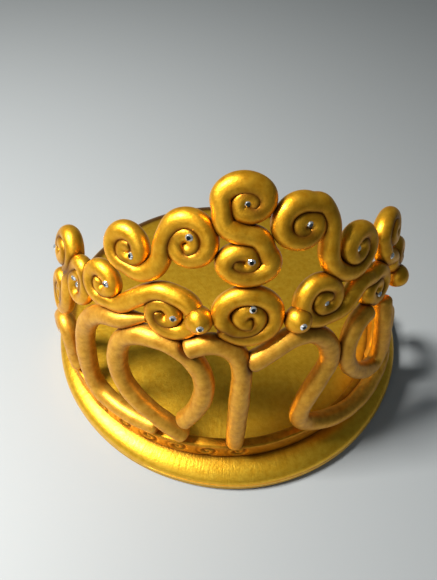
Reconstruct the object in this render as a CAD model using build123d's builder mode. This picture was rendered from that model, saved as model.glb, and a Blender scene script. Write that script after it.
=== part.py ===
# Scroll-work crown on a round base: hand-rolled ropes stand on a foot band and lean
# inwards as they rise. Front faces -Y, Z is up, the origin is under the disc's centre.
import os
from math import cos, radians, sin, sqrt, tan

from build123d import *

os.makedirs("parts", exist_ok=True)

# driving dimensions, mm
disc_radius = 80.0
disc_height = 9.6
disc_rim = 3.6  # rounding of the disc's upper edge
disc_foot = 0.8  # chamfer of its lower edge

ring_x = -2.9  # the crown's own axis, measured from the disc's
ring_y = 3.7
wall_radius = 71.5  # rope centre line at the foot
wall_upright = 20.0  # height up to which the wall is upright
wall_lean = 0.0028  # how fast it leans in above that, per mm

band_height = 9.0
band_width = 4.0
band_reach = 84.0  # degrees each side of the front
band_top = disc_height + band_height

thick_rope = 6.8  # lower tier
slim_rope = 4.7  # middle and upper tiers
stone_size = 2.1
stone_seat = 0.5  # depth of a rhinestone's pocket
stone_crown = 0.5
bead_size = 8.4
dome_share = 0.96  # an end's dome against the rope's own radius
arc_share = 0.495  # length of run that each corner's arc may use


def radius_at(height):
    """Radius of the wall at a height."""
    above = max(0.0, height - wall_upright)
    return wall_radius - wall_lean * above**2


def on_wall(angle, height, out=0.0):
    """Point of the wall; angle in degrees from the front, out is pushed outwards."""
    reach = radius_at(height) + out
    turn = radians(angle)
    return Vector(ring_x + reach * sin(turn), ring_y - reach * cos(turn), height)


def outward(angle, height):
    """Unit vector square to the wall."""
    slope = 2 * wall_lean * max(0.0, height - wall_upright)
    turn = radians(angle)
    return Vector(sin(turn), -cos(turn), slope).normalized()


def curl(centre, end, wide, tall, start, turns, eye=5.8):
    """Spiral on the wall from its outer end inwards, as (angle, height) stops.

    centre is the middle of the outer turn and end is where the rope's inner end lies.
    wide and tall are the outer half sizes, start is the outer end's direction in
    degrees (0 right, 90 up), and turns is negative for clockwise. The last quarter
    turn is half a circle of diameter eye, which arrives at the inner end.
    """
    mm_per_degree = radians(radius_at(centre[1]))
    rise = 1 / sqrt(1 + (2 * wall_lean * (centre[1] - wall_upright)) ** 2)
    hand = 1 if turns > 0 else -1
    outer_run = abs(turns) * 360 - 90
    count = round(outer_run / 45)
    steps = []
    for index in range(count + 1):
        share = index / count
        reach_x = wide + (eye - wide) * share
        reach_z = tall + (eye - tall) * share
        steps.append((share, outer_run * share, reach_x, reach_z))
    for left in (60, 30, 0):  # degrees of the closing half circle still to go
        reach = eye * sin(radians(left))
        steps.append((1, outer_run + 90 - left, reach, reach))
    stops = []
    for share, run, reach_x, reach_z in steps:
        turn = radians(start + hand * run)
        angle = centre[0] + (end[0] - centre[0]) * share
        height = centre[1] + (end[1] - centre[1]) * share
        across, up = reach_x * cos(turn) / mm_per_degree, reach_z * sin(turn) * rise
        stops.append((angle + across, height + up))
    return stops


def corner_radii(points, limit=60.0):
    """Largest tangent arc that each corner of a path has room for."""
    radii = []
    for before, here, after in zip(points, points[1:], points[2:]):
        first, second = here - before, after - here
        bend = radians(first.get_angle(second))
        room = arc_share * min(first.length, second.length) / tan(bend / 2)
        radii.append(min(limit, room))
    return radii


def rope(stops, thickness, name, seats=()):
    """One rope: a round section carried through the stops, with domed ends.

    seats are the (angle, height) places of the pockets that hold the rhinestones.
    """
    route = [on_wall(*stop) for stop in stops]
    radii = corner_radii(route)
    with BuildPart() as piece:
        with BuildLine():
            FilletPolyline(route, radius=radii)
        with BuildSketch(Plane(origin=route[0], z_dir=route[1] - route[0])):
            Circle(thickness / 2)
        sweep()
        with Locations(route[0], route[-1]):
            Sphere(dome_share * thickness / 2)
        for angle, height in seats:
            with Locations(stone_plane(angle, height, thickness)):
                Cylinder(
                    stone_size / 2,
                    thickness,
                    align=(Align.CENTER, Align.CENTER, Align.MIN),
                    mode=Mode.SUBTRACT,
                )
    piece.part.label = name
    export_step(piece.part, f"parts/{name}.step")
    print(f"{name}: {piece.part.volume:.0f} mm3, tightest arc {min(radii):.1f} mm")
    return piece.part


def stone_plane(angle, height, thickness):
    """Floor of a stone's pocket in a rope whose centre line is on the wall."""
    floor = dome_share * thickness / 2 - stone_seat
    normal = outward(angle, height)
    return Plane(origin=on_wall(angle, height) + normal * floor, z_dir=normal)


def bead_stone_plane(place):
    """Floor of the pocket on the front of a bead."""
    angle, height, out = place
    floor = bead_size / 2 - stone_seat
    normal = outward(angle, height)
    return Plane(origin=on_wall(angle, height, out) + normal * floor, z_dir=normal)


# base disc, turned from its half section
with BuildPart() as base_disc:
    with BuildSketch(Plane.XZ):
        with BuildLine():
            Polyline(
                (0, 0),
                (disc_radius - disc_foot, 0),
                (disc_radius, disc_foot),
                (disc_radius, disc_height - disc_rim),
            )
            RadiusArc(
                (disc_radius, disc_height - disc_rim),
                (disc_radius - disc_rim, disc_height),
                -disc_rim,
            )
            Polyline((disc_radius - disc_rim, disc_height), (0, disc_height), (0, 0))
        make_face()
    revolve(axis=Axis.Z)
base_disc.part.label = "base_disc"
export_step(base_disc.part, "parts/base_disc.step")

# foot band: an arc strip on the disc that the ropes stand on
with BuildPart() as foot_band:
    with BuildSketch(Plane.XY.offset(disc_height)):
        with BuildLine():
            CenterArc((ring_x, ring_y), wall_radius, -90 - band_reach, 2 * band_reach)
        trace(line_width=band_width)
    extrude(amount=band_height)
foot_band.part.label = "foot_band"
export_step(foot_band.part, "parts/foot_band.step")

glue_gap = 0.05
along = band_top + thick_rope / 2 + glue_gap  # centre of a rope that rests on the band

# lower tier: thick ropes, each stop is (angle, height, pushed out)
lower_ropes = {
    "left_teardrop_loop": [
        (-17.6, along),
        (-22.5, 28.5),
        (-28, 34),
        (-33.4, 40),
        (-37.2, 48),
        (-38.2, 57),
        (-36, 64.8),
        (-30, 69.6),
        (-22.4, 69.8),
        (-15.8, 66.2),
        (-11.8, 59.5),
        (-11.2, 51),
        (-12.8, 43.8),
    ],
    "hook_stem": [
        (-15.4, 74.2, 5),
        (-11.5, 74.4, 2.4),
        (-7, 72.6, 0.6),
        (-3, 68.4),
        (-1.2, 61.5),
        (-1, 51),
        (-0.8, 36),
        (-0.6, along),
    ],
    "right_bow_loop": [
        (4.8, 68.6),
        (10, 72.6),
        (16.6, 74),
        (22.4, 70.4),
        (25.2, 63),
        (23.8, 54.6),
        (20.2, 46),
        (18, 37),
        (18.4, 28.4),
        (23.6, along + 0.2, 0.6),
        (31, along, 2),
        (39.5, along, 2.6),
        (48, along, 2),
    ],
    "left_bow_loop": [
        (-39.8, 71.4),
        (-44.6, 68.6),
        (-49.2, 63),
        (-51.8, 55),
        (-52.2, 45),
        (-51.2, 35),
        (-49, 27),
        (-44.5, along + 0.4),
        (-38, along),
        (-31.5, along),
        (-26, along),
    ],
    "right_side_loop": [
        (37.6, 65.2, 1),
        (33.6, 61.4, 1.4),
        (31.4, 55.4, 1.8),
        (33, 48.6, 2),
        (37.6, 42.6, 2.4),
        (43.4, 39.4, 2.6),
        (47.8, 43.6, 2.6),
        (48.6, 52, 2.4),
        (48.2, 60.5, 2),
    ],
    "left_end_loop": [
        (-60, along),
        (-62.6, 27.5),
        (-63, 34),
        (-65.6, 40),
        (-70, 40.6),
        (-73.6, 36),
        (-74.8, 30),
        (-74.4, 24.5),
    ],
    "right_end_loop": [
        (57.5, along),
        (60, 27),
        (60.4, 33),
        (63.4, 37.4),
        (68, 37.6),
        (71.6, 33.6),
        (72.8, 28.6),
        (72.4, 24.5),
    ],
}
for name, stops in lower_ropes.items():
    rope(stops, thick_rope, name)

# middle and upper tiers: slim ropes curled into scrolls, each with a rhinestone seated
# on the rope's inner end
stones = {
    "crest_top": (-2.8, 116.7),
    "crest_low": (-1.2, 101.2),
    "left_crest_in": (-19.8, 106.2),
    "left_crest_out": (-37.6, 96.6),
    "right_crest_in": (16.6, 109.8),
    "right_crest_out": (35.2, 97.2),
    "rosette": (0.0, 86.2),
    "left_mid_in": (-21.6, 82.0),
    "left_mid_out": (-44.8, 82.4),
    "right_mid_in": (22.2, 85.4),
    "right_mid_out": (43.4, 76.6),
    "left_side_in": (-58.8, 74.2),
    "left_side_out": (-71.4, 57.8),
    "left_finial": (-74.2, 79.2),
    "right_finial_top": (56.2, 91.6),
    "right_finial_low": (60.6, 78.4),
}

scrolls = {
    "crest_scroll": (
        curl((-3.4, 116.6), stones["crest_top"], 6.8, 5.2, 200, -0.95)[::-1]
        + [(-9.6, 110.4), (-4.4, 108.4), (0.8, 106.6)]
        + curl((-1.7, 100.2), stones["crest_low"], 6.9, 4.9, 30, -0.9),
        ("crest_top", "crest_low"),
    ),
    "left_crest_scroll": (
        curl((-20.4, 105.2), stones["left_crest_in"], 6.8, 7.5, 165, -0.95)[::-1]
        + [(-28.2, 102.5), (-28.4, 98), (-30.6, 94.8), (-34, 92.6)]
        + curl((-39.2, 97.6), stones["left_crest_out"], 6.2, 6.2, -80, -0.95),
        ("left_crest_in", "left_crest_out"),
    ),
    "right_crest_scroll": (
        curl((15, 109.8), stones["right_crest_in"], 6.8, 6.5, 60, 0.95)[::-1]
        + [(23.6, 112.4), (26.4, 107.8), (26.4, 102.6), (25.2, 97.6)]
        + [(25.6, 92.8), (29, 89.4), (33.8, 88)]
        + curl((36.8, 96), stones["right_crest_out"], 6.5, 7.8, -75, 0.95),
        ("right_crest_in", "right_crest_out"),
    ),
    "centre_rosette": (
        curl((-0.9, 84.2), stones["rosette"], 8.2, 7.6, -125, 1.08),
        ("rosette",),
    ),
    "left_mid_scroll": (
        curl((-22.4, 82.6), stones["left_mid_in"], 6.8, 7.2, 80, -0.95)[::-1]
        + [(-27.6, 88.6), (-31.6, 85.4), (-35.4, 81.4), (-39, 78)]
        + curl((-46.4, 81.6), stones["left_mid_out"], 6.2, 6.1, -65, -0.95),
        ("left_mid_in", "left_mid_out"),
    ),
    "right_mid_scroll": (
        curl((22, 85.6), stones["right_mid_in"], 8.4, 8.0, -70, -0.95)[::-1]
        + [(29, 79.4), (33, 82.2), (37, 84.4)]
        + curl((43.4, 76.8), stones["right_mid_out"], 6.2, 7.4, 105, -0.95),
        ("right_mid_in", "right_mid_out"),
    ),
    "left_side_scroll": (
        curl((-59.6, 74.6), stones["left_side_in"], 5.8, 6.2, 130, -0.95)[::-1]
        + [(-64.8, 75.4), (-64.6, 66), (-65, 56.5)]
        + curl((-71.6, 57.6), stones["left_side_out"], 6, 6.2, -60, -0.95),
        ("left_side_in", "left_side_out"),
    ),
    "left_finial": (
        curl((-74.4, 79.4), stones["left_finial"], 6, 7.2, -50, 0.95),
        ("left_finial",),
    ),
    "right_finial": (
        curl((56, 91.4), stones["right_finial_top"], 5.8, 5.6, 180, -0.75)[::-1]
        + [(51.9, 84.8)]
        + curl((60.6, 78.6), stones["right_finial_low"], 5.8, 5.6, 180, 0.75),
        ("right_finial_top", "right_finial_low"),
    ),
}
ropes = {
    name: rope(stops, slim_rope, name, [stones[seat] for seat in seats])
    for name, (stops, seats) in scrolls.items()
}

# beads: soft balls pressed on over the joints, so they take the ropes' shape there
beads = {
    "left_bead": ((-13.9, 85, 2), ("left_mid_scroll", "centre_rosette")),
    "right_bead": ((12.9, 84.8, 2), ("right_mid_scroll", "centre_rosette")),
    "right_side_bead": ((57.6, 71.2, 2), ("right_finial", "right_mid_scroll")),
}
for name, (place, neighbours) in beads.items():
    with BuildPart() as bead:
        with Locations(on_wall(*place)):
            Sphere(bead_size / 2)
        for neighbour in neighbours:
            add(ropes[neighbour], mode=Mode.SUBTRACT)
        with Locations(bead_stone_plane(place)):
            Cylinder(
                stone_size / 2,
                bead_size,
                align=(Align.CENTER, Align.CENTER, Align.MIN),
                mode=Mode.SUBTRACT,
            )
    bead.part.label = name
    export_step(bead.part, f"parts/{name}.step")

# rhinestones: a cylinder girdle in the pocket and a cone-shaped crown over it
stone_planes = [stone_plane(*place, slim_rope) for place in stones.values()]
stone_planes += [bead_stone_plane(place) for place, _ in beads.values()]
with BuildPart() as rhinestones:
    for plane in stone_planes:
        with BuildSketch(plane):
            Circle(stone_size / 2)
        extrude(amount=stone_seat)
        with BuildSketch(plane.offset(stone_seat)):
            Circle(stone_size / 2)
        with BuildSketch(plane.offset(stone_seat + stone_crown)):
            Circle(stone_size / 3)
        loft()
rhinestones.part.label = "rhinestones"
export_step(rhinestones.part, "parts/rhinestones.step")
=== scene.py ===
import math

import bpy
import numpy as np
from mathutils import Matrix, Vector


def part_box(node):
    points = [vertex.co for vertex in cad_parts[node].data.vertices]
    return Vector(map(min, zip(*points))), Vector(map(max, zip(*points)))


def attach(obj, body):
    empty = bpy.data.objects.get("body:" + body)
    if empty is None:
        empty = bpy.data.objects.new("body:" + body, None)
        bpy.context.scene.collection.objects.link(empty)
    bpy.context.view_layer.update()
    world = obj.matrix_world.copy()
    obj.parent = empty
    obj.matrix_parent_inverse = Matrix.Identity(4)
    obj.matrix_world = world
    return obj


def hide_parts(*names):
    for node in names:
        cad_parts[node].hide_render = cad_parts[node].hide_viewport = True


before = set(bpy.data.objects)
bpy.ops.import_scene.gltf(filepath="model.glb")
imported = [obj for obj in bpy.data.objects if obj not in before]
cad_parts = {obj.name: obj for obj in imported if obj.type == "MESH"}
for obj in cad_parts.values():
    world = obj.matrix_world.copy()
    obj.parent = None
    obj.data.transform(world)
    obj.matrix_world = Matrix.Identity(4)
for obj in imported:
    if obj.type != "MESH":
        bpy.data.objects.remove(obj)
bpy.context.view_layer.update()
mm = 0.001

# sizes and the crown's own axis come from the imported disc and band, in mm
discLow, discHigh = [np.array(corner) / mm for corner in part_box("base_disc")]
bandLow, bandHigh = [np.array(corner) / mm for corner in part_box("foot_band")]

# the wall that all the ropes lie on: upright at the foot, leaning inwards above
wall = {"radius": 71.5, "upright": 20.0, "lean": 0.0028, "bandWidth": 4.0}
ringX = (bandLow[0] + bandHigh[0]) / 2
ringY = bandLow[1] + wall["radius"] + wall["bandWidth"] / 2
bandTop = bandHigh[2]


# wall radius = radius - lean * (height above the upright part) squared
def radiusAt(height):
    return wall["radius"] - wall["lean"] * np.maximum(0, height - wall["upright"]) ** 2


# point = axis + (radius + out) * (sin angle, -cos angle), angle in degrees from the front
def onWall(angle, height, out=0.0):
    reach = radiusAt(height) + out
    turn = np.radians(angle)
    return np.stack([ringX + reach * np.sin(turn), ringY - reach * np.cos(turn), height + 0 * reach], -1)


# unit vector square to the wall: level part (sin, -cos), rising by the wall's slope
def outward(angle, height):
    turn = np.radians(angle)
    slope = 2 * wall["lean"] * np.maximum(0, height - wall["upright"])
    normal = np.stack([np.sin(turn), -np.cos(turn), slope + 0 * turn], -1)
    return normal / np.linalg.norm(normal, axis=-1, keepdims=True)


rowsPerTurn = 20


# spiral from its outer turn inwards: centre + half size * (cos, sin); the half size is held for
# `hold` turns, then eases down to the eye's own radius at `closing` turns; past that it winds in
# by `wind` a turn; the rope thins to `tip` and the eye stands out from the wall by `lift`
def scroll(centre, half, eye, start, turns, radius, tip,
           eyeRadius=1.9, hold=0.45, closing=1.15, wind=0.0, lift=0.0):
    count = int(abs(turns) * rowsPerTurn) + 1
    run = np.linspace(0, abs(turns), count)
    share = np.clip((closing - run) / (closing - hold), 0, 1)
    share = share**2 * (3 - 2 * share)
    turn = np.radians(start + np.sign(turns) * 360 * run)
    perDegree = np.radians(radiusAt(centre[1]))
    rise = 1 / math.sqrt(1 + (2 * wall["lean"] * max(0, centre[1] - wall["upright"])) ** 2)
    inner = eyeRadius - wind * np.maximum(0, run - closing)
    reachX = inner + (half[0] - inner) * share
    reachZ = inner + (half[1] - inner) * share
    angle = eye[0] + (centre[0] - eye[0]) * share + reachX * np.cos(turn) / perDegree
    height = eye[1] + (centre[1] - eye[1]) * share + reachZ * np.sin(turn) * rise
    taper = tip + (radius - tip) * share
    return np.stack([angle, height, lift * (1 - share), taper], -1)


# stops of a rope's free stretch as rows (angle, height, out, radius); a stop may leave out its
# last two values
def stretch(stops, radius):
    rows = [list(stop) + [0.0, radius][len(stop) - 2:] for stop in stops]
    return np.array(rows, float).reshape(-1, 4)


lineStep = 0.5  # mm between the rings of a rope
finePlaces = 40  # places worked out for each row before the line is read off evenly


# smooth line through the rows: a Hermite curve with the root of the chord as its knots, read off
# every lineStep mm and softened by a bell-shaped average that is `soft` mm wide; its columns are
# x, y, z, angle, height, out and radius
def smoothLine(rows, soft):
    points = np.concatenate([onWall(rows[:, 0], rows[:, 1], rows[:, 2]), rows], 1)
    chord = np.linalg.norm(np.diff(points[:, :3], axis=0), axis=1)
    knots = np.r_[0, np.cumsum(np.sqrt(chord))]
    gap = np.diff(knots)
    slope = np.diff(points, axis=0) / gap[:, None]
    tangent = np.zeros_like(points)
    tangent[1:-1] = slope[:-1] * gap[1:, None] + slope[1:] * gap[:-1, None]
    tangent[1:-1] /= (gap[1:] + gap[:-1])[:, None]
    tangent[0] = 1.5 * slope[0] - 0.5 * tangent[1]
    tangent[-1] = 1.5 * slope[-1] - 0.5 * tangent[-2]
    place = np.linspace(0, knots[-1], finePlaces * len(rows))
    index = np.clip(np.searchsorted(knots, place, side="right") - 1, 0, len(gap) - 1)
    width = gap[index][:, None]
    x = ((place - knots[index]) / gap[index])[:, None]
    line = (2 * x**3 - 3 * x**2 + 1) * points[index] + (x**3 - 2 * x**2 + x) * width * tangent[index]
    line += (3 * x**2 - 2 * x**3) * points[index + 1] + (x**3 - x**2) * width * tangent[index + 1]
    length = np.r_[0, np.cumsum(np.linalg.norm(np.diff(line[:, :3], axis=0), axis=1))]
    even = np.linspace(0, length[-1], int(length[-1] / lineStep) + 1)
    line = np.stack([np.interp(even, length, column) for column in line.T], -1)
    half = int(3 * soft / lineStep)
    bell = np.exp(-0.5 * (np.arange(-half, half + 1) * lineStep / soft) ** 2)
    bell /= bell.sum()
    padded = np.concatenate([2 * line[0] - line[half:0:-1], line, 2 * line[-1] - line[-2:-half - 2:-1]])
    return np.stack([np.convolve(column, bell, "valid") for column in padded.T], -1)


# lower tier: thick ropes, stops are (angle, height, pushed out, radius)
foot = bandTop + 0.3  # where a rope's cut end meets the band
along = bandTop + 3.5  # middle of a rope that lies along the band
lowerRopes = {
    "left_teardrop_loop": {
        "radius": 3.5,
        "stops": [
            (-17.2, 22.6), (-20.7, 26.6), (-25, 31.2), (-30, 36), (-34.4, 41.5), (-37.3, 48.5),
            (-38.2, 56), (-37, 64), (-33.4, 69), (-28, 71.4), (-22, 71.2), (-16.5, 68.3),
            (-12.7, 62.5), (-11.3, 55.5), (-11.9, 48), (-13.8, 40.8), (-16.4, 34.2),
        ],
    },
    "hook_stem": {
        "radius": 3.5,
        "stops": [
            (-15.8, 72.9, 1.4), (-13, 74.2, 0.9), (-9.9, 74.8, 0.5), (-6.9, 74, 0.2), (-3.8, 71.8),
            (-1.9, 67.5), (-1.3, 61.9), (-1.4, 52.2), (-1.4, 40.6), (-1.3, 27.8), (-1.2, foot + 1.0),
        ],
    },
    "right_bow_loop": {
        "radius": 3.5,
        "stops": [
            (1.3, 67.3), (4.7, 69.8), (8.1, 72.7), (11.9, 75), (16.3, 75.3), (21.1, 72.3), (24.7, 65.8),
            (25.2, 58.6), (22.6, 52.5), (19.8, 45.5), (17.9, 37.6), (18, 30.2), (20.8, 24.6, 0.3),
            (25.5, 21.3, 1.2), (31, 19.8, 2.6), (37, 18.8, 3.6), (43, 18.2, 4.0), (50, 17.8, 4.0),
            (57, 18.2, 3.8), (63, 19.4, 3.0),
        ],
    },
    "left_bow_loop": {
        "radius": 3.5,
        "stops": [
            (-30.6, 75.6, -1.4, 1.4), (-34.2, 74.2, -0.6, 2.7), (-37.6, 72.7), (-41.6, 71.2),
            (-45.6, 68.6), (-49.1, 64.2), (-51.6, 57.3), (-52.2, 50), (-51.8, 41.8), (-51, 33),
            (-49.6, 26.5), (-46.5, 22.8),
            (-42, along - 0.2), (-37, along - 0.2), (-32, along - 0.2), (-26, along - 0.2),
        ],
    },
    "right_side_loop": {
        "radius": 3.2,
        "stops": [
            (38.6, 72, 1.0), (34.4, 71, 1.2), (31.8, 67.6, 1.4), (30.4, 62.4, 1.5), (30.8, 57, 1.5),
            (33, 50.6, 1.8), (37.2, 44.4, 2.2), (42, 39.8, 2.4), (46.4, 38, 2.6), (48.6, 43, 2.6),
            (48, 53, 2.4), (47.6, 62, 2.0), (48.4, 68, 1.0),
        ],
    },
    "left_end_loop": {
        "radius": 3.4,
        "stops": [
            (-60, along), (-62.4, 27), (-62.8, 33.5), (-64.6, 39.2), (-68.2, 40.6), (-71.6, 37.6),
            (-73.6, 31.5), (-74, 25),
        ],
    },
    "right_end_loop": {
        "radius": 3.4,
        "stops": [
            (57.5, along), (60, 27), (60.4, 32), (62.8, 35.8), (66.6, 36.8), (70.6, 34.6),
            (72.6, 30), (73, 25),
        ],
    },
}

# upper tiers: slimmer ropes curled into scrolls at one or both ends
upperRopes = {
    "crest_scroll": {
        "radius": 3.35,
        "first": {"centre": (-3.7, 116.0), "half": (5.9, 4.3), "eye": (-2.5, 115.5),
                  "start": 205, "turns": -1.66, "tip": 2.8, "eyeRadius": 2.2},
        "stops": [(-9.2, 110.0), (-4.6, 108.2), (1.4, 106.7)],
        "last": {"centre": (-1.7, 100.5), "half": (6.4, 4.1), "eye": (-2.8, 100.8),
                 "start": 35, "turns": -1.62, "tip": 2.8, "eyeRadius": 2.1},
    },
    "left_crest_scroll": {
        "radius": 3.15,
        "first": {"centre": (-20.2, 104.8), "half": (5.8, 5.9), "eye": (-20.2, 104.2),
                  "start": 165, "turns": -1.65, "tip": 2.75, "eyeRadius": 2.6},
        "stops": [(-27.6, 101.8), (-27.6, 97.6), (-29.6, 93.9), (-33.6, 91.6)],
        "last": {"centre": (-39.2, 96.4), "half": (5.4, 5.1), "eye": (-38.2, 96.1),
                 "start": -75, "turns": -1.55, "tip": 2.75, "eyeRadius": 2.2},
    },
    "right_crest_scroll": {
        "radius": 3.2,
        "first": {"centre": (15.4, 109.6), "half": (5.8, 5.3), "eye": (16.5, 108.4),
                  "start": 55, "turns": 1.62, "tip": 2.8, "eyeRadius": 2.5},
        "stops": [(22.9, 112.6), (25.8, 108.0), (25.2, 102.6), (24.6, 98.4), (26, 94.4),
                  (29.6, 91.3), (34, 90.2)],
        "last": {"centre": (36.6, 96.0), "half": (5, 5.1), "eye": (35.8, 96.6),
                 "start": -72, "turns": 1.32, "tip": 2.8, "eyeRadius": 2.4},
    },
    "centre_rosette": {
        "radius": 3.15,
        "last": {"centre": (-0.9, 84.3), "half": (8.2, 7.2), "eye": (-0.5, 84.2), "hold": 0.8,
                 "closing": 1.35, "start": -140, "turns": 2.15, "tip": 2.85, "eyeRadius": 3.3,
                 "wind": 1.2},
    },
    "left_mid_scroll": {
        "radius": 3.1,
        "first": {"centre": (-21.8, 82.4), "half": (6.7, 6.1), "eye": (-24.0, 81.4),
                  "start": 80, "turns": -1.72, "tip": 2.7, "eyeRadius": 2.9, "wind": 1.0},
        "stops": [(-26.0, 88.2), (-30, 86.0), (-34.6, 81.8), (-38.6, 77.8)],
        "last": {"centre": (-45.8, 80.8), "half": (5.4, 5.1), "eye": (-45.2, 81.0),
                 "start": -60, "turns": -1.4, "tip": 2.7},
    },
    "right_mid_scroll": {
        "radius": 3.1,
        "first": {"centre": (21.2, 85.2), "half": (6.4, 6.6), "eye": (22.6, 84.4), "closing": 1.05,
                  "start": -75, "turns": -1.6, "tip": 2.7, "eyeRadius": 2.7},
        "stops": [(28.5, 79.2), (32.5, 82), (36.5, 84.3)],
        "last": {"centre": (43.3, 78.4), "half": (5.4, 5), "eye": (43.3, 78.2),
                 "start": 105, "turns": -1.5, "tip": 2.7},
    },
    "left_side_scroll": {
        "radius": 2.8,
        "first": {"centre": (-56.4, 73.6), "half": (4.8, 6.8), "eye": (-56.2, 73.6),
                  "start": 130, "turns": -1.5, "tip": 2.3, "eyeRadius": 2.4},
        "stops": [(-62.6, 69.5), (-63, 63.0), (-63.4, 57)],
        "last": {"centre": (-67.8, 56.8), "half": (4.6, 7.6), "eye": (-67.8, 56.6),
                 "start": -60, "turns": -1.5, "tip": 2.3, "eyeRadius": 2.4},
    },
    "left_finial": {
        "radius": 3.1,
        "last": {"centre": (-66.6, 77.4), "half": (5.4, 6.3), "eye": (-66.6, 78.0),
                 "start": -50, "turns": 1.5, "tip": 3.1, "eyeRadius": 2.3, "hold": 0.3, "lift": 0.8},
    },
    "right_finial": {
        "radius": 3.1,
        "first": {"centre": (55.4, 91.4), "half": (5.4, 3.7), "eye": (55.0, 91.4), "hold": 0.3,
                  "start": 200, "turns": -1.4, "tip": 3.1, "eyeRadius": 2.2, "lift": 0.8},
        "stops": [(50.4, 88.0), (51.4, 83.4)],
        "last": {"centre": (60.2, 78.4), "half": (4.8, 3.4), "eye": (60.0, 78.4), "hold": 0.3,
                 "start": 150, "turns": 1.4, "tip": 2.9, "eyeRadius": 2.0, "lift": 0.6},
    },
}


# all the rows of a rope: first curl from the eye outwards, free stretch, last curl inwards
def ropeRows(piece):
    parts = []
    if "first" in piece:
        parts.append(scroll(radius=piece["radius"], **piece["first"])[::-1])
    parts.append(stretch(piece.get("stops", []), piece["radius"]))
    if "last" in piece:
        parts.append(scroll(radius=piece["radius"], **piece["last"]))
    return np.concatenate(parts)


softening = {"lower": 1.4, "upper": 0.6}  # mm
ropeLines = {}
for name, piece in {**lowerRopes, **upperRopes}.items():
    tier = "upper" if name in upperRopes else "lower"
    ropeLines[name] = smoothLine(ropeRows(piece), softening[tier])
print("rope lines:", len(ropeLines))

# every second rope point together, so that a rope knows where its neighbours and its own other
# turns are
lineNames = list(ropeLines)
linePoints = np.concatenate([ropeLines[name][::2] for name in lineNames])
lineOwner = np.repeat(np.arange(len(lineNames)), [len(ropeLines[name][::2]) for name in lineNames])
linePlace = np.concatenate([np.arange(len(ropeLines[name]))[::2] * lineStep for name in lineNames])

farAway = 99.0  # mm
pointsAtOnce = 1500  # keeps the table of distances small
noOwner = -1  # for a piece that isn't a rope
ownStretch = 2.9  # radii along its own line in which a rope isn't its own neighbour
creviceWidth = 0.9  # mm
creviceEdge = 1.3


# gap from each point to the nearest other rope: distance to that rope's line less its radius,
# below zero inside the rope
def neighbourGap(points, places, owner):
    gaps = np.full(len(points), farAway)
    centres, radii = linePoints[:, :3], linePoints[:, 6]
    for block in range(0, len(points), pointsAtOnce):
        part = slice(block, block + pointsAtOnce)
        away = np.linalg.norm(points[part, None] - centres[None], axis=2) - radii[None]
        near = np.abs(places[part, None] - linePlace[None]) < ownStretch * radii[None]
        gaps[part] = np.where((lineOwner == owner)[None] & near, farAway, away).min(1)
    return gaps


# painted shade of a seam: exp(-(gap / width) ^ edge), 1 where the ropes touch
def paintedSeamShade(gap):
    return np.exp(-(np.maximum(gap, 0) / creviceWidth) ** creviceEdge)


# puts arrays of points (mm) and faces into a mesh object, smooth shaded, with float attributes
def makeMesh(name, points, faces, material, attributes=(), smooth=True):
    mesh = bpy.data.meshes.new(name)
    mesh.from_pydata((np.asarray(points) * mm).tolist(), [], faces)
    mesh.polygons.foreach_set("use_smooth", np.full(len(mesh.polygons), smooth))
    for label, values in attributes:
        attribute = mesh.attributes.new(label, "FLOAT", "POINT")
        attribute.data.foreach_set("value", np.asarray(values, np.float32))
    mesh.update()
    piece = bpy.data.objects.new(name, mesh)
    bpy.context.scene.collection.objects.link(piece)
    mesh.materials.append(material)
    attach(piece, "root")
    return piece


# quads of a grid of rows x columns that closes round its columns
def ringFaces(rows, columns):
    low = np.arange(rows - 1)[:, None] * columns + np.arange(columns)[None]
    side = np.arange(rows - 1)[:, None] * columns + (np.arange(columns)[None] + 1) % columns
    return np.stack([low, side, side + columns, low + columns], -1).reshape(-1, 4).tolist()


# triangles that close the first and last rings of that grid to two end points, which follow the
# grid's own points: the first ring's to one side, the last ring's to the other
def endFaces(rows, columns, flip):
    ring = np.arange(columns)
    after = (ring + 1) % columns
    if flip:
        ring, after = after, ring
    last = (rows - 1) * columns
    first = np.stack([np.full(columns, rows * columns), after, ring], -1)
    second = np.stack([np.full(columns, rows * columns + 1), ring + last, after + last], -1)
    return first.tolist() + second.tolist()


handRolled = {
    "sides": 30,
    "swell": 0.022,        # share of the radius
    "swellLength": 3.1,    # mm for one radian of the wave
    "ripple": 0.011,
    "rippleLength": 1.3,
    "oval": 0.018,
    "ovalLength": 6,
    "seedStep": 1.7,       # shifts the waves from rope to rope
    "bluntEnd": 0.5,       # length of an end's dome, in radii
    "domeShape": 0.6,
    "dome": (82, 64, 45, 28, 12),  # degrees of the dome's rings
    "pressed": 0.5,        # share of the depth in a neighbour that a point is drawn back
    "mostPressed": 0.6,    # of the radius
}


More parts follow.
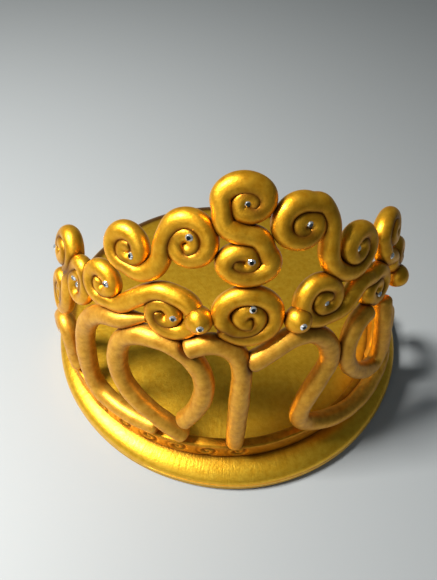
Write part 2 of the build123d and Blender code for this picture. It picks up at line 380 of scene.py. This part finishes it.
# rope surface: line + radius * (cos t * outward + sin t * sideways), with rounded ends; the radius
# swells slowly along the rope and is slightly oval, as hand-rolled clay is; a point inside a
# neighbour is drawn back by half its depth, so ropes meet in a pressed seam
def makeRope(name, owner, line, material):
    seed = handRolled["seedStep"] * owner
    sides, blunt = handRolled["sides"], handRolled["bluntEnd"]
    cap = np.radians(handRolled["dome"])
    step = np.arange(len(line)) * lineStep
    tangent = np.gradient(line[:, :3], axis=0)
    tangent /= np.linalg.norm(tangent, axis=1, keepdims=True)
    normal = outward(line[:, 3], line[:, 4])
    normal -= (normal * tangent).sum(1, keepdims=True) * tangent
    normal /= np.linalg.norm(normal, axis=1, keepdims=True)
    sideways = np.cross(tangent, normal)
    swell = handRolled["swell"] * np.sin(step / handRolled["swellLength"] + seed)
    swell = swell + handRolled["ripple"] * np.sin(step / handRolled["rippleLength"] + 2 * seed)
    radius = line[:, 6] * (1 + swell)
    index = np.r_[np.zeros(len(cap), int), np.arange(len(line)), np.full(len(cap), len(line) - 1)]
    push = np.r_[-np.sin(cap), np.zeros(len(line)), np.sin(cap[::-1])] * blunt
    shrink = np.r_[np.cos(cap), np.ones(len(line)), np.cos(cap[::-1])] ** handRolled["domeShape"]
    centres = line[index, :3] + tangent[index] * (push * radius[index])[:, None]
    around = np.linspace(0, 2 * np.pi, sides, endpoint=False)[None]
    twist = 2 * around + step[index][:, None] / handRolled["ovalLength"]
    oval = 1 + handRolled["oval"] * np.cos(twist + seed)
    reach = (radius[index] * shrink)[:, None] * oval
    arms = normal[index][:, None] * np.cos(around)[..., None]
    arms = arms + sideways[index][:, None] * np.sin(around)[..., None]
    points = (centres[:, None] + arms * reach[..., None]).reshape(-1, 3)
    gap = neighbourGap(points, np.repeat(step[index], sides), owner)
    most = handRolled["mostPressed"] * np.repeat(radius[index], sides)
    points = points - arms.reshape(-1, 3) * np.clip(-handRolled["pressed"] * gap, 0, most)[:, None]
    firstEnd = line[0, :3] - tangent[0] * blunt * radius[0]
    lastEnd = line[-1, :3] + tangent[-1] * blunt * radius[-1]
    faces = ringFaces(len(index), sides) + endFaces(len(index), sides, False)
    # painted shade: the rope is darkened where a neighbour lies close
    painted_shade = np.r_[paintedSeamShade(gap), 0, 0]
    return makeMesh(name + "_visual", np.concatenate([points, [firstEnd, lastEnd]]), faces, material,
                    [("painted_shade", painted_shade)])


# sRGB hex to linear: c / 12.92 below 0.04045, else ((c + 0.055) / 1.055) ^ 2.4
def linear(hexColour):
    parts = [int(hexColour[i:i + 2], 16) / 255 for i in (0, 2, 4)]
    return [c / 12.92 if c <= 0.04045 else ((c + 0.055) / 1.055) ** 2.4 for c in parts] + [1.0]


# adds a node, sets its properties and sockets, and links {socket: (node, output)} into it
def addNode(tree, kind, properties=None, sockets=None, links=None):
    node = tree.nodes.new(kind)
    for key, value in (properties or {}).items():
        setattr(node, key, value)
    for key, value in (sockets or {}).items():
        node.inputs[key].default_value = value
    for key, (source, output) in (links or {}).items():
        tree.links.new(source.outputs[output], node.inputs[key])
    return node


goldPaint = {
    "light": "FABA30",   # thick paint
    "middle": "E29A16",  # thinner paint
    "mottled": (0.3, 0.65),  # noise values of the thinner and the thick paint
    "deep": "5E2604",    # painted shade in the seams
    "seamCover": 0.85,   # how much of the colour a full seam takes
    "metallic": 0.84,    # mica flakes in a clear binder, so not quite all metal
    "roughness": 0.35,
    "smoother": 0.08,    # how far the roughness falls and rises with the grain
    "rougher": 0.14,
    "mottleSize": 2.4,   # mm, uneven brushing
    "mottleDepth": 0.25,  # mm
    "grainSize": 0.7,    # mm, real mica grain is finer; this coarse it still shows
    "grainDepth": 0.11,  # mm
    "strokeDepth": 0.12,  # mm, on a piece that has a stroke width and length
}


# gold mica paint brushed over clay: a satin metal with a fine grain and painted shade in the seams, whose
# thick and thin patches break up the highlights
def brushedGold(name, paint):
    material = bpy.data.materials.new(name)
    material.use_nodes = True
    tree = material.node_tree
    tree.nodes.clear()
    place = addNode(tree, "ShaderNodeTexCoord")
    mottle = addNode(tree, "ShaderNodeTexNoise", {},
                     {"Scale": 1 / (paint["mottleSize"] * mm), "Detail": 4.0, "Roughness": 0.6},
                     {"Vector": (place, "Object")})
    colour = addNode(tree, "ShaderNodeValToRGB", {}, {}, {"Fac": (mottle, "Fac")})
    for stop, begins, shade in zip(colour.color_ramp.elements, paint["mottled"], ("middle", "light")):
        stop.position = begins
        stop.color = linear(paint[shade])
    # painted shade: the seams' darkness, read from the mesh, mixes in the deep colour
    seam = addNode(tree, "ShaderNodeAttribute", {"attribute_name": "painted_shade"})
    shadeShare = addNode(tree, "ShaderNodeMath", {"operation": "MULTIPLY", "use_clamp": True},
                   {1: paint["seamCover"]}, {0: (seam, "Fac")})
    mixed = addNode(tree, "ShaderNodeMix", {"data_type": "RGBA"}, {7: linear(paint["deep"])},
                    {0: (shadeShare, "Value"), 6: (colour, "Color")})
    grain = addNode(tree, "ShaderNodeTexNoise", {},
                    {"Scale": 1 / (paint["grainSize"] * mm), "Detail": 3.0, "Roughness": 0.7},
                    {"Vector": (place, "Object")})
    rough = addNode(tree, "ShaderNodeMapRange", {},
                    {"To Min": paint["roughness"] - paint["smoother"],
                     "To Max": paint["roughness"] + paint["rougher"]},
                    {"Value": (grain, "Fac")})
    lumps = addNode(tree, "ShaderNodeBump", {}, {"Strength": 0.35, "Distance": paint["mottleDepth"] * mm},
                    {"Height": (mottle, "Fac")})
    if "strokeWidth" in paint:
        # strokes run out from the middle: noise on (direction / stroke width, distance / stroke
        # length), the width as it is out at the wall's radius
        level = addNode(tree, "ShaderNodeVectorMath", {"operation": "MULTIPLY"}, {1: (1, 1, 0)},
                        {0: (place, "Object")})
        aim = addNode(tree, "ShaderNodeVectorMath", {"operation": "NORMALIZE"}, {}, {0: (level, "Vector")})
        sweep = addNode(tree, "ShaderNodeVectorMath", {"operation": "SCALE"},
                        {"Scale": wall["radius"] / paint["strokeWidth"]}, {0: (aim, "Vector")})
        away = addNode(tree, "ShaderNodeVectorMath", {"operation": "LENGTH"}, {}, {0: (level, "Vector")})
        along = addNode(tree, "ShaderNodeMath", {"operation": "DIVIDE"}, {1: paint["strokeLength"] * mm},
                        {0: (away, "Value")})
        lengthwise = addNode(tree, "ShaderNodeCombineXYZ", {}, {}, {"Z": (along, "Value")})
        spot = addNode(tree, "ShaderNodeVectorMath", {"operation": "ADD"}, {},
                       {0: (sweep, "Vector"), 1: (lengthwise, "Vector")})
        strokes = addNode(tree, "ShaderNodeTexNoise", {}, {"Scale": 1.0, "Detail": 3.0, "Roughness": 0.6},
                          {"Vector": (spot, "Vector")})
        lumps = addNode(tree, "ShaderNodeBump", {}, {"Strength": 0.6, "Distance": paint["strokeDepth"] * mm},
                        {"Height": (strokes, "Fac"), "Normal": (lumps, "Normal")})
    bump = addNode(tree, "ShaderNodeBump", {}, {"Strength": 0.6, "Distance": paint["grainDepth"] * mm},
                   {"Height": (grain, "Fac"), "Normal": (lumps, "Normal")})
    shader = addNode(tree, "ShaderNodeBsdfPrincipled", {}, {"Metallic": paint["metallic"]},
                     {"Base Color": (mixed, 2), "Roughness": (rough, "Result"), "Normal": (bump, "Normal")})
    addNode(tree, "ShaderNodeOutputMaterial", {}, {}, {"Surface": (shader, "BSDF")})
    return material


# the same paint, set apart for each kind of piece: darker colours on the lower ropes and the band, yellower
# ones on the disc
lowerPaint = {**goldPaint, "light": "EAAE3C", "middle": "CC8A22", "metallic": 0.74, "roughness": 0.4}
bandPaint = {**goldPaint, "light": "E2A024", "middle": "C47E14", "roughness": 0.4}
discPaint = {**goldPaint, "light": "F6C236", "middle": "E6AA22", "roughness": 0.34,
             "strokeWidth": 0.9, "strokeLength": 14.0}
ropeGold = brushedGold("brushed_gold_scroll", goldPaint)
lowerGold = brushedGold("brushed_gold_lower_rope", lowerPaint)
bandGold = brushedGold("brushed_gold_band", bandPaint)
discGold = brushedGold("brushed_gold_disc", discPaint)

for owner, name in enumerate(lineNames):
    rope = makeRope(name, owner, ropeLines[name], ropeGold if name in upperRopes else lowerGold)
    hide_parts(name)
print("ropes:", len(lineNames))

# soft balls of clay pressed over the joints, places are (angle, height, pushed out)
beadGrid = {"columns": 48, "rows": 25, "uneven": 0.02, "mostPressed": 0.5}
beads = {
    "left_bead": {"place": (-14.2, 83.4, 1.6), "radius": 4.3},
    "right_bead": {"place": (13.2, 82.6, 1.6), "radius": 4.3},
    "right_side_bead": {"place": (57.2, 71.8, 2.0), "radius": 4.2},
}


# ball: centre + radius * (sin v cos u, sin v sin u, cos v), drawn back where a rope is inside it
def makeBead(name, bead, material):
    centre = onWall(*np.array(bead["place"], float))
    rows, columns = beadGrid["rows"], beadGrid["columns"]
    u = np.linspace(0, 2 * np.pi, columns, endpoint=False)[None]
    v = np.linspace(0, np.pi, rows + 2)[1:-1, None]
    arms = np.stack([np.sin(v) * np.cos(u), np.sin(v) * np.sin(u), np.cos(v) + 0 * u], -1).reshape(-1, 3)
    reach = bead["radius"] * (1 + beadGrid["uneven"] * np.sin(3 * arms[:, 0] + 2 * arms[:, 2]))
    points = centre + arms * reach[:, None]
    gap = neighbourGap(points, np.zeros(len(points)), noOwner)
    most = beadGrid["mostPressed"] * bead["radius"]
    points -= arms * np.clip(-handRolled["pressed"] * gap, 0, most)[:, None]
    top = centre + [0, 0, bead["radius"]]
    bottom = centre - [0, 0, bead["radius"]]
    faces = [face[::-1] for face in ringFaces(rows, columns)] + endFaces(rows, columns, True)
    # painted shade: the ball is darkened where a rope lies close
    return makeMesh(name + "_visual", np.concatenate([points, [top, bottom]]), faces, material,
                    [("painted_shade", np.r_[paintedSeamShade(gap), 0, 0])])


for name, bead in beads.items():
    ball = makeBead(name, bead, ropeGold)
    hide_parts(name)

# base disc: its half section turned round the axis; the reach wavers with the turn, as in a
# slab cut and smoothed by hand, and a shallow line runs round just above the foot
disc = {
    "rim": 9.0,            # width and height of the rounded rim
    "fall": 4.4,
    "rimTurn": (88, 4),    # degrees of its arc, from the top to the side
    "inset": 0.3,          # leaves room for the bulge of the side
    "bulge": 0.3,
    "sideFoot": 0.7,       # height at which the side turns under
    "lineHeight": 2.3,
    "lineDepth": 0.55,
    "lineWidth": 0.45,
    "footInset": (0.6, 1.4, 6),
    "footRise": 0.25,
    "underside": (40, 10),  # radii of the rings below
    "waves": ((3, 0.7, 1.0), (5, 2.1, 0.6), (11, 0.0, 0.3)),  # (waves a turn, phase, share)
    "waver": 0.35,
    "dip": 0.3,            # how uneven the top is
    "seamWidth": 1.2,      # mm of painted shade beside the band
    "lineShade": 0.5,       # mm of painted shade above and below the line
    "rings": (44, 16, 24),  # of the top, the rim and the side
    "columns": 300,
}


def makeDisc(material):
    radius = (discHigh[0] - discLow[0]) / 2
    height = discHigh[2]
    topRings, rimRings, sideRings = disc["rings"]
    corner = np.radians(np.linspace(*disc["rimTurn"], rimRings))
    sideZ = np.linspace(height - disc["fall"] * 1.04, disc["sideFoot"], sideRings)
    groove = disc["lineDepth"] * np.exp(-((sideZ - disc["lineHeight"]) / disc["lineWidth"]) ** 2)
    rise = (sideZ - disc["sideFoot"]) / (height - disc["fall"] - disc["sideFoot"])
    bulge = disc["bulge"] * np.sin(np.pi * rise)
    topR = np.linspace(2.0, radius - disc["rim"] - 0.8, topRings)
    rimR = radius - disc["rim"] * (1 - np.cos(corner)) - disc["inset"]
    rimZ = height - disc["fall"] * (1 - np.sin(corner))
    sideR = radius - disc["inset"] - groove + bulge
    footR = radius - np.array(disc["footInset"])
    profileR = np.r_[topR, rimR, sideR, footR, disc["underside"]]
    profileZ = np.r_[0 * topR + height, rimZ, sideZ, disc["footRise"], 0, 0, 0, 0]
    turn = np.linspace(0, 2 * np.pi, disc["columns"], endpoint=False)[None]
    share = (profileR / radius)[:, None]
    waver = sum(part * np.sin(count * turn + phase) for count, phase, part in disc["waves"])
    waver = disc["waver"] * waver / sum(part for count, phase, part in disc["waves"])
    reach = profileR[:, None] + (waver - disc["waver"]) * share**3
    # the dip is two slow waves less 1.6, so that the top stays under the disc's own height
    dip = np.sin(2 * turn + 1) * share + np.sin(4 * turn + 5 * share) * share**2 - 1.6
    lift = profileZ[:, None] + np.where(profileZ[:, None] > height / 2, disc["dip"] * dip * 0.5, 0)
    centre = (discLow + discHigh) / 2
    points = np.stack([centre[0] + reach * np.cos(turn), centre[1] + reach * np.sin(turn), lift], -1)
    points = points.reshape(-1, 3)
    rows, columns = len(profileR), disc["columns"]
    faces = [face[::-1] for face in ringFaces(rows, columns)] + endFaces(rows, columns, True)
    ends = [[centre[0], centre[1], points[0, 2]], [centre[0], centre[1], 0]]
    # painted shade lies along the band's foot and in the line above the disc's foot
    fromAxis = np.hypot(points[:, 0] - ringX, points[:, 1] - ringY)
    away = np.abs(fromAxis - wall["radius"]) - wall["bandWidth"] / 2
    seam = np.where(points[:, 2] > height / 2, np.exp(-np.maximum(away, 0) / disc["seamWidth"]), 0)
    low = np.exp(-((points[:, 2] - disc["lineHeight"]) / disc["lineShade"]) ** 2)
    low = low * (points[:, 2] < height / 2)
    painted_shade = np.r_[np.maximum(seam, low), 0, 0]
    return makeMesh("base_disc_visual", np.concatenate([points, ends]), faces, material,
                    [("painted_shade", painted_shade)])


base = makeDisc(discGold)
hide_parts("base_disc")

# foot band: a rounded strip carried round the ring, its outer face marked with small pressed
# scrolls: a groove wherever (distance from the scroll's middle / pitch) less its turn is whole
band = {
    "reach": 84,           # degrees each side of the front
    "round": 1.1,
    "step": 0.42,          # mm between the strip's rows
    "pitch": 2.9,          # mm from turn to turn of a mark
    "scrollSize": 3.9,
    "scrollEdge": 0.35,    # how softly a mark ends
    "spacing": 11.5,
    "depth": 0.8,
    "marked": (-50, 3),    # degrees between which the marks are pressed
    "below": 0.3,          # how far a mark's middle lies under the band's
    "bend": 0.12,          # how far the face wavers in and out
    "bendLength": 5.3,     # mm for one radian of that wave
    "bendHeight": 9,       # mm over which the wave grows
    "sag": 0.25,
    "sagLength": 6.1,
    # height over which the painted shade at the band's foot fades
    "footShadeHeight": 0.9,
    "shadeStrength": 0.8,           # painted shade: how dark the marks and the foot are against a full seam
    "rings": (30, 11),     # points up the face and over the rounded top
}


def makeBand(material):
    low, high = bandLow[2], bandHigh[2]
    half, soft = wall["bandWidth"] / 2, band["round"]
    face = np.linspace(low + 0.15, high - soft, band["rings"][0])
    corner = np.radians(np.linspace(8, 172, band["rings"][1]))
    edge = np.cos(corner) * soft + np.where(corner < np.pi / 2, half - soft, soft - half)
    across = np.r_[half + 0 * face, edge, -half + 0 * face[::3]]
    heights = np.r_[face, high - soft + soft * np.sin(corner), face[::-1][::3]][None]
    angle = np.arange(-band["reach"], band["reach"], np.degrees(band["step"] / wall["radius"]))[:, None]
    around = np.radians(angle) * wall["radius"]
    middle = (low + high) / 2 - band["below"]
    shifted = around + band["spacing"] / 2
    offset = shifted % band["spacing"] - band["spacing"] / 2
    hand = np.where(np.floor(shifted / band["spacing"]) % 2 == 0, 1, -1)
    distance = np.hypot(offset, heights - middle)
    turn = hand * np.arctan2(heights - middle, offset) / (2 * np.pi)
    groove = 0.5 + 0.5 * np.cos(2 * np.pi * (distance / band["pitch"] - turn))
    window = 1 / (1 + np.exp((distance - band["scrollSize"]) / band["scrollEdge"]))
    outer = (np.arange(len(across)) < len(face))[None]
    marked = (angle > band["marked"][0]) & (angle < band["marked"][1])
    press = np.where(outer & marked, band["depth"] * groove**1.5 * window, 0)
    bend = band["bend"] * np.sin(around / band["bendLength"]) * (heights - low) / band["bendHeight"]
    reach = wall["radius"] + across[None] - press + bend
    sag = band["sag"] * (1 + np.sin(around / band["sagLength"] + 1)) * ((heights - low) / (high - low)) ** 2
    pointX = ringX + reach * np.sin(np.radians(angle))
    pointY = ringY - reach * np.cos(np.radians(angle))
    points = np.stack([pointX, pointY, heights - sag], -1)
    rows, columns = points.shape[:2]
    points = points.reshape(-1, 3)
    faces = ringFaces(rows, columns)
    faces.append(list(range(columns))[::-1])
    faces.append([(rows - 1) * columns + k for k in range(columns)])
    # painted shade: the pressed marks, the band's foot and its seams with the ropes are darkened
    foot = np.exp(-(heights - low) / band["footShadeHeight"]) + 0 * angle
    painted_shade = band["shadeStrength"] * np.maximum(press / band["depth"], foot).reshape(-1)
    gap = neighbourGap(points, np.zeros(len(points)), noOwner)
    painted_shade = np.maximum(painted_shade, paintedSeamShade(gap))
    return makeMesh("foot_band_visual", points, faces, material, [("painted_shade", painted_shade)])


strip = makeBand(bandGold)
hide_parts("foot_band")

# rhinestones of the 2 mm kind, and (angle, height) of each one on the ropes and beads
rhinestone = {
    "radius": 1.12,
    "table": 0.56,    # radius of the flat top, as a share
    "crown": 0.42,    # mm from the girdle up to the table
    "girdle": 0.05,
    "sunk": 0.5,
    "facets": 10,
    "turned": 0.4,    # radians from one stone to the next
    "reachesIn": 8,   # mm behind the wall at which a rope still holds a stone
    "offWall": 2.6,   # mm out from the wall where no rope is at a stone's place
}
stonePlaces = [
    (-2.8, 116.7), (-0.9, 102.7), (-19.2, 107.4), (-36.1, 97.2), (17.1, 110.1), (34.0, 98.4),
    (0.2, 88.8), (-13.2, 84.5), (13.1, 84.1), (-21.0, 83.0), (-42.6, 84.6), (21.8, 85.7),
    (43.3, 76.3), (-55.5, 73.8), (-57.6, 74.6), (-66.8, 57.2), (-70.0, 76.8), (-68.4, 33.6), (50.4, 86.4),
]


# a stone sits where the line that leaves the wall level through its place last meets a rope or
# bead: out = b + root(radius^2 - d^2), with b and d measured along and off that line
def stoneSeat(place, centres, radii):
    start = onWall(*np.array(place))
    turn = math.radians(place[0])
    level = np.array([math.sin(turn), -math.cos(turn), 0.0])
    b = (centres - start) @ level
    spare = radii**2 - (((centres - start) ** 2).sum(1) - b**2)
    met = (spare > 0) & (b > -rhinestone["reachesIn"])
    out = np.where(met, b + np.sqrt(np.maximum(spare, 0)), -farAway)
    best = int(out.argmax())
    if not met.any():
        return start + level * rhinestone["offWall"], level
    point = start + level * out[best]
    normal = (point - centres[best]) / radii[best] + outward(np.array(place[0]), np.array(place[1]))
    return point, normal / np.linalg.norm(normal)


# each stone has three rings of points along its normal: table, girdle and sunk foot; the ring
# is seat + size * (cos t * sideways + sin t * upward), and the girdle is turned half a facet
def makeStones(material):
    beadCentres = np.array([onWall(*np.array(bead["place"], float)) for bead in beads.values()])
    centres = np.concatenate([linePoints[:, :3], beadCentres])
    radii = np.r_[linePoints[:, 6], [bead["radius"] for bead in beads.values()]]
    sides = rhinestone["facets"]
    turn = np.arange(sides) * 2 * np.pi / sides
    sizes = np.array([rhinestone["table"], 1, 1]) * rhinestone["radius"]
    depths = [rhinestone["crown"], 0, -rhinestone["girdle"] - rhinestone["sunk"]]
    levels = np.array(depths) + rhinestone["girdle"]
    points, faces, table = [], [], []
    for number, stonePlace in enumerate(stonePlaces):
        seat, normal = stoneSeat(stonePlace, centres, radii)
        side = np.cross(normal, [0, 0, 1.0])
        side /= np.linalg.norm(side)
        upward = np.cross(side, normal)
        halfFacet = np.array([0, np.pi / sides, np.pi / sides])
        spin = turn[None] + rhinestone["turned"] * number + halfFacet[:, None]
        ring = side * (np.cos(spin) * sizes[:, None])[..., None]
        ring = ring + upward * (np.sin(spin) * sizes[:, None])[..., None]
        ring = seat + ring + normal * levels[:, None, None]
        first = len(points) * 3 * sides
        k = np.arange(sides)
        after = (k + 1) % sides
        faces.append((first + k).tolist())
        table.append(1.0)
        facets = np.stack([k, sides + k, after], -1).tolist()
        facets += np.stack([after, sides + k, sides + after], -1).tolist()
        facets += np.stack([sides + k, 2 * sides + k, 2 * sides + after, sides + after], -1).tolist()
        faces += [[first + v for v in face] for face in facets]
        faces.append((first + 2 * sides + k[::-1]).tolist())
        table += [0.0] * (3 * sides + 1)
        points.append(ring.reshape(-1, 3))
    piece = makeMesh("rhinestones_visual", np.concatenate(points), faces, material, smooth=False)
    attribute = piece.data.attributes.new("table", "FLOAT", "FACE")
    attribute.data.foreach_set("value", np.array(table, np.float32))
    return piece


# foil-backed glass: pale mirror facets round a table painted dark, a painted reflection of the dark seen
# down through the glass to the foil
def chatonGlass(name):
    material = bpy.data.materials.new(name)
    material.use_nodes = True
    tree = material.node_tree
    tree.nodes.clear()
    table = addNode(tree, "ShaderNodeAttribute", {"attribute_name": "table"})
    colour = addNode(tree, "ShaderNodeMix", {"data_type": "RGBA"},
                     {6: linear("F2F6F8"), 7: linear("2E3A40")}, {0: (table, "Fac")})
    shader = addNode(tree, "ShaderNodeBsdfPrincipled", {},
                     {"Metallic": 0.85, "Roughness": 0.07, "Coat Weight": 1.0, "Coat Roughness": 0.02},
                     {"Base Color": (colour, 2)})
    addNode(tree, "ShaderNodeOutputMaterial", {}, {}, {"Surface": (shader, "BSDF")})
    return material


stones = makeStones(chatonGlass("foil_backed_glass"))
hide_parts("rhinestones")
print("disc, band and stones:", len(stonePlaces), "stones")

# plain pale floor
table = {"reach": 3.0, "colour": "9CA0A4", "roughness": 0.6}
floorMaterial = bpy.data.materials.new("pale_table")
floorMaterial.use_nodes = True
floorShader = floorMaterial.node_tree.nodes["Principled BSDF"]
floorShader.inputs["Base Color"].default_value = linear(table["colour"])
floorShader.inputs["Roughness"].default_value = table["roughness"]
far = table["reach"]
floorMesh = bpy.data.meshes.new("table")
floorMesh.from_pydata([(-far, -far, 0), (far, -far, 0), (far, far, 0), (-far, far, 0)], [], [(0, 1, 2, 3)])
floorMesh.materials.append(floorMaterial)
floor = bpy.data.objects.new("table", floorMesh)
bpy.context.scene.collection.objects.link(floor)

# dim even room light, a small bright lamp on the left and a broad weak one in front
studio = {"colour": "BCCCCC", "strength": 0.13}
bpy.context.scene.view_settings.view_transform = "Standard"
world = bpy.data.worlds.new("studio")
bpy.context.scene.world = world
world.use_nodes = True
background = world.node_tree.nodes["Background"]
background.inputs["Color"].default_value = linear(studio["colour"])
background.inputs["Strength"].default_value = studio["strength"]

lights = {
    "key": {"place": (-0.32, -0.05, 0.46), "size": 0.13, "power": 6.0, "colour": "FFFDF6"},
    "fill": {"place": (-0.30, -0.60, 0.40), "size": 0.5, "power": 0.7, "colour": "F0F6FF"},
}
litSpot = (0, 0, 0.03)
for name, light in lights.items():
    lamp = bpy.data.lights.new(name, "AREA")
    lamp.energy = light["power"]
    lamp.size = light["size"]
    lamp.color = linear(light["colour"])[:3]
    holder = bpy.data.objects.new(name, lamp)
    bpy.context.scene.collection.objects.link(holder)
    holder.location = light["place"]
    aim = Vector(litSpot) - holder.location
    holder.rotation_euler = aim.to_track_quat("-Z", "Y").to_euler()

# camera in front and above, turned by its own right, up and back directions
view = {
    "lens": 31.03,
    "sensor": 36,
    "nearest": 0.01,
    "right": (0.99623, -0.07602, 0.04175),
    "up": (0.03314, 0.77845, 0.62684),
    "back": (-0.08015, -0.62309, 0.77803),
    "place": (-0.02369, -0.14049, 0.20222),
}
cameraData = bpy.data.cameras.new("camera")
cameraData.lens = view["lens"]
cameraData.sensor_width = view["sensor"]
cameraData.clip_start = view["nearest"]
camera = bpy.data.objects.new("camera", cameraData)
bpy.context.scene.collection.objects.link(camera)
rows = list(zip(view["right"], view["up"], view["back"], view["place"]))
camera.matrix_world = Matrix(rows + [(0, 0, 0, 1)])
bpy.context.scene.camera = camera
print("stage:", len(lights), "lights")
